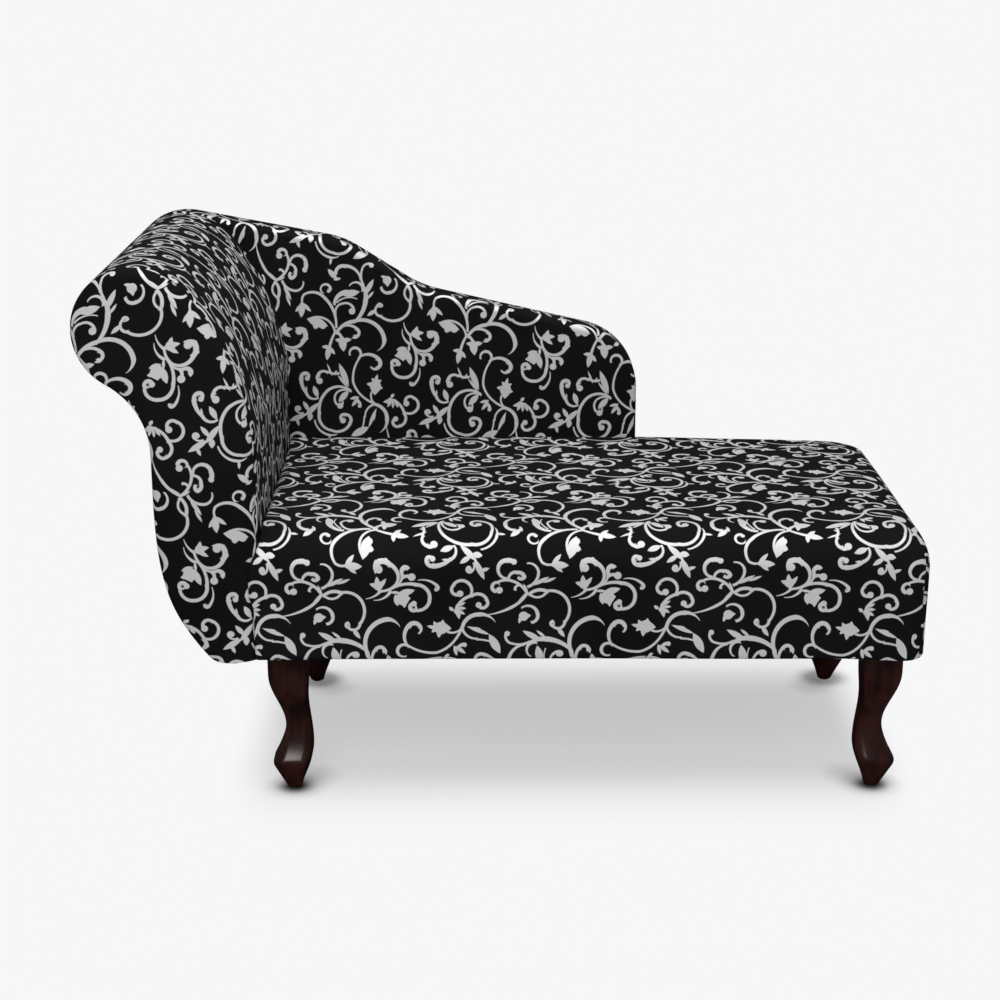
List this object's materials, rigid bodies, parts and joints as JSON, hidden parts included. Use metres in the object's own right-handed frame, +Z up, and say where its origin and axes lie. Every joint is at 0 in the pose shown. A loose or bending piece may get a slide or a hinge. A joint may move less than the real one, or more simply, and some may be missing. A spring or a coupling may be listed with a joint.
{
  "type": "meridienne",
  "caption": "Small upholstered meridienne with a scrolled headrest, a low back that slopes down along one long side, a padded seat and short cabriole legs.",
  "frame": {"origin": "centre of the overall box, on the floor under the glides", "axes": "+X along the seat from the headrest to the free foot end, +Y towards the side with the back (the sitter faces -Y), +Z up"},
  "size_m": [1.053, 0.5, 0.6999],
  "materials": {
    "frame_timber": "planed, unfinished",
    "block_timber": "planed, unfinished",
    "leg_mahogany": "dark mahogany stain under gloss lacquer",
    "hardboard": "smooth on one face",
    "foam": "open-cell foam",
    "wadding": "fibre wadding",
    "webbing": "woven strap",
    "dust_cloth": "non-woven cloth",
    "cover_fabric": "black ground with a silver-white woven vine pattern",
    "zinc_steel": "zinc plated",
    "insert_brass": "as turned",
    "glide_steel": "pressed and plated"
  },
  "bodies": {
    "root": {"seat_front_rail": "frame_timber", "seat_rear_rail": "frame_timber", "seat_left_rail": "frame_timber", "seat_right_rail": "frame_timber", "seat_cross_rail": "frame_timber", "corner_block_front_left": "block_timber", "corner_block_front_right": "block_timber", "corner_block_rear_left": "block_timber", "corner_block_rear_right": "block_timber", "corner_block_screws": "zinc_steel", "leg_insert_nuts": "insert_brass", "leg_hanger_bolts": "zinc_steel", "leg_front_left": "leg_mahogany", "leg_front_right": "leg_mahogany", "leg_rear_left": "leg_mahogany", "leg_rear_right": "leg_mahogany", "leg_glides": "glide_steel", "cross_webbing": "webbing", "long_webbing": "webbing", "seat_border_padding": "wadding", "seat_foam": "foam", "seat_cover": "cover_fabric", "dust_cover": "dust_cloth", "headrest_front_board": "frame_timber", "headrest_rear_board": "frame_timber", "headrest_bottom_rail": "frame_timber", "headrest_seat_rail": "frame_timber", "headrest_inner_rail": "frame_timber", "headrest_side_rail": "frame_timber", "headrest_roll_pole": "frame_timber", "headrest_inside_board": "hardboard", "headrest_outside_board": "hardboard", "headrest_inside_foam": "foam", "headrest_outside_foam": "foam", "headrest_front_padding": "wadding", "headrest_inside_cover": "cover_fabric", "headrest_outside_cover": "cover_fabric", "headrest_front_facing": "cover_fabric", "headrest_bolts": "zinc_steel", "headrest_bolt_nuts": "zinc_steel", "back_scroll_post": "frame_timber", "back_top_rail": "frame_timber", "back_bottom_rail": "frame_timber", "back_middle_post": "frame_timber", "back_end_post": "frame_timber", "back_front_board": "hardboard", "back_foam": "foam", "back_edge_padding": "wadding", "back_rear_padding": "wadding", "back_inside_cover": "cover_fabric", "back_outside_cover": "cover_fabric", "back_joining_plates": "zinc_steel", "back_plate_screws": "zinc_steel", "back_headrest_screws": "zinc_steel"}
  },
  "joints": []
}
